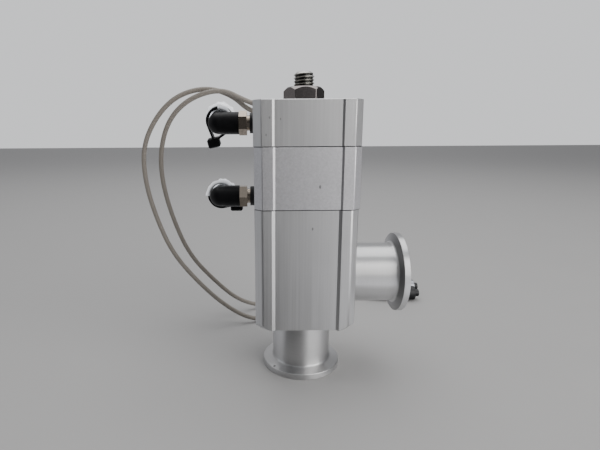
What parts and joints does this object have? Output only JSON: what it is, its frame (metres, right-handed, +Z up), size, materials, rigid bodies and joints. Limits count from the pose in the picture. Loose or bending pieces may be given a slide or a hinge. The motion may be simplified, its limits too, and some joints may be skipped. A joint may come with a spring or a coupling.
{
  "type": "two-stage high vacuum angle valve",
  "caption": "Pneumatic right-angle high vacuum valve with a slow initial exhaust stage, two clamp-flange ports, elbow air fittings and switch leads",
  "frame": {"origin": "centre of the lower port's flange face", "axes": "+Z up the valve's axis from the lower port to the adjusting screw, +X out of the side port, +Y to the rear with the switch slots"},
  "size_m": [0.1887, 0.128, 0.1483],
  "materials": {
    "body_aluminium": "machined and fine blasted",
    "block_aluminium": "clear anodised, satin",
    "bright_steel": "zinc plated",
    "stainless_steel": "turned",
    "bellows_steel": "formed sheet",
    "piston_aluminium": "hard anodised",
    "spring_steel": "drawn wire",
    "stud_steel": "turned, rolled thread",
    "nut_steel": "bright nickel plated",
    "nickel_brass": "nickel plated",
    "magnet": "moulded magnet",
    "black_rubber": "nitrile rubber",
    "vacuum_rubber": "fluoro rubber",
    "bearing_plastic": "filled bearing plastic",
    "black_plastic": "moulded, semi gloss",
    "white_plastic": "moulded",
    "cover_film": "thin film",
    "dark_nylon": "moulded nylon",
    "switch_plastic": "moulded",
    "lead_sheath": "soft matt sheath",
    "plug_plastic": "moulded"
  },
  "bodies": {
    "housing": {"valve_body": "body_aluminium", "lower_port_flange": "body_aluminium", "lower_port_neck": "body_aluminium", "side_port_flange": "body_aluminium", "side_port_neck": "body_aluminium", "main_cylinder": "block_aluminium", "upper_cylinder": "block_aluminium", "cylinder_bolts": "bright_steel", "bonnet_plate": "stainless_steel", "bonnet_seal": "black_rubber", "stem_bush": "bearing_plastic", "stem_seal": "black_rubber", "rod_seal": "black_rubber", "upper_cylinder_seal": "black_rubber", "upper_port_gasket": "black_rubber", "upper_fitting_stud": "nickel_brass", "lower_port_gasket": "black_rubber", "lower_fitting_stud": "nickel_brass", "left_switch": "switch_plastic", "right_switch": "switch_plastic", "switch_lead_outer": "lead_sheath", "switch_lead_inner": "lead_sheath", "outer_plug": "plug_plastic", "inner_plug": "plug_plastic"},
    "main_valve": {"main_valve_disc": "stainless_steel", "main_valve_seal": "vacuum_rubber", "main_stem": "stainless_steel", "initial_rod_seal": "vacuum_rubber", "bellows": "bellows_steel", "main_piston": "piston_aluminium", "main_piston_seal": "black_rubber", "main_piston_magnet": "magnet", "main_wear_ring": "bearing_plastic", "piston_nut": "bright_steel", "main_spring": "spring_steel"},
    "initial_valve": {"initial_exhaust_rod": "stainless_steel", "initial_valve_seal": "vacuum_rubber", "rod_collar": "bright_steel", "initial_valve_spring": "spring_steel"},
    "initial_piston_group": {"initial_piston": "piston_aluminium", "initial_piston_seal": "black_rubber", "initial_piston_magnet": "magnet", "piston_rod_seal": "black_rubber", "initial_spring": "spring_steel"},
    "adjuster": {"adjusting_screw": "stud_steel"},
    "adjuster_nut": {"lock_nut": "nut_steel"},
    "upper_fitting": {"upper_elbow": "black_plastic", "upper_release_button": "white_plastic", "upper_dust_cover": "cover_film", "upper_cable_tie": "dark_nylon"},
    "lower_fitting": {"lower_elbow": "black_plastic", "lower_release_button": "white_plastic", "lower_dust_cover": "cover_film", "lower_cable_tie": "dark_nylon"},
    "outer_plug_nut": {"outer_coupling_nut": "nickel_brass"},
    "inner_plug_nut": {"inner_coupling_nut": "nickel_brass"}
  },
  "joints": [
    {"name": "main_valve_lift", "type": "slide", "parent": "housing", "child": "main_valve", "axis": [0, 0, 1], "range_m": [0, 0.008], "stiffness_N_per_m": 4000, "springref_m": -0.01, "deforming": ["bellows", "main_spring"]},
    {"name": "initial_valve_lift", "type": "slide", "parent": "main_valve", "child": "initial_valve", "axis": [0, 0, 1], "range_m": [0, 0.003], "stiffness_N_per_m": 900, "springref_m": -0.004, "deforming": ["initial_valve_spring"]},
    {"name": "initial_piston_lift", "type": "slide", "parent": "housing", "child": "initial_piston_group", "axis": [0, 0, 1], "range_m": [0, 0.003], "stiffness_N_per_m": 2500, "springref_m": -0.008, "deforming": ["initial_spring"]},
    {"name": "adjusting_screw_turn", "type": "hinge", "parent": "housing", "child": "adjuster", "pos_m": [0, 0, 0.12], "axis": [0, 0, 1], "range_deg": [0, 720]},
    {"name": "lock_nut_turn", "type": "hinge", "parent": "housing", "child": "adjuster_nut", "pos_m": [0, 0, 0.1342], "axis": [0, 0, 1], "range_deg": [0, 720]},
    {"name": "upper_elbow_swivel", "type": "hinge", "parent": "housing", "child": "upper_fitting", "pos_m": [-0.0311, 0, 0.1251], "axis": [1, 0, 0], "range_deg": [-38, 192]},
    {"name": "lower_elbow_swivel", "type": "hinge", "parent": "housing", "child": "lower_fitting", "pos_m": [-0.0311, 0, 0.0898], "axis": [1, 0, 0], "range_deg": [-203, 27]},
    {"name": "outer_coupling_turn", "type": "hinge", "parent": "housing", "child": "outer_plug_nut", "pos_m": [0.0804, 0.085, 0.005], "axis": [1, 0, 0], "continuous": true},
    {"name": "inner_coupling_turn", "type": "hinge", "parent": "housing", "child": "inner_plug_nut", "pos_m": [0.0844, 0.099, 0.005], "axis": [1, 0, 0], "continuous": true}
  ],
  "couplings": [
    {"joint": "initial_valve_lift", "follows": "initial_piston_lift", "ratio": 1}
  ]
}
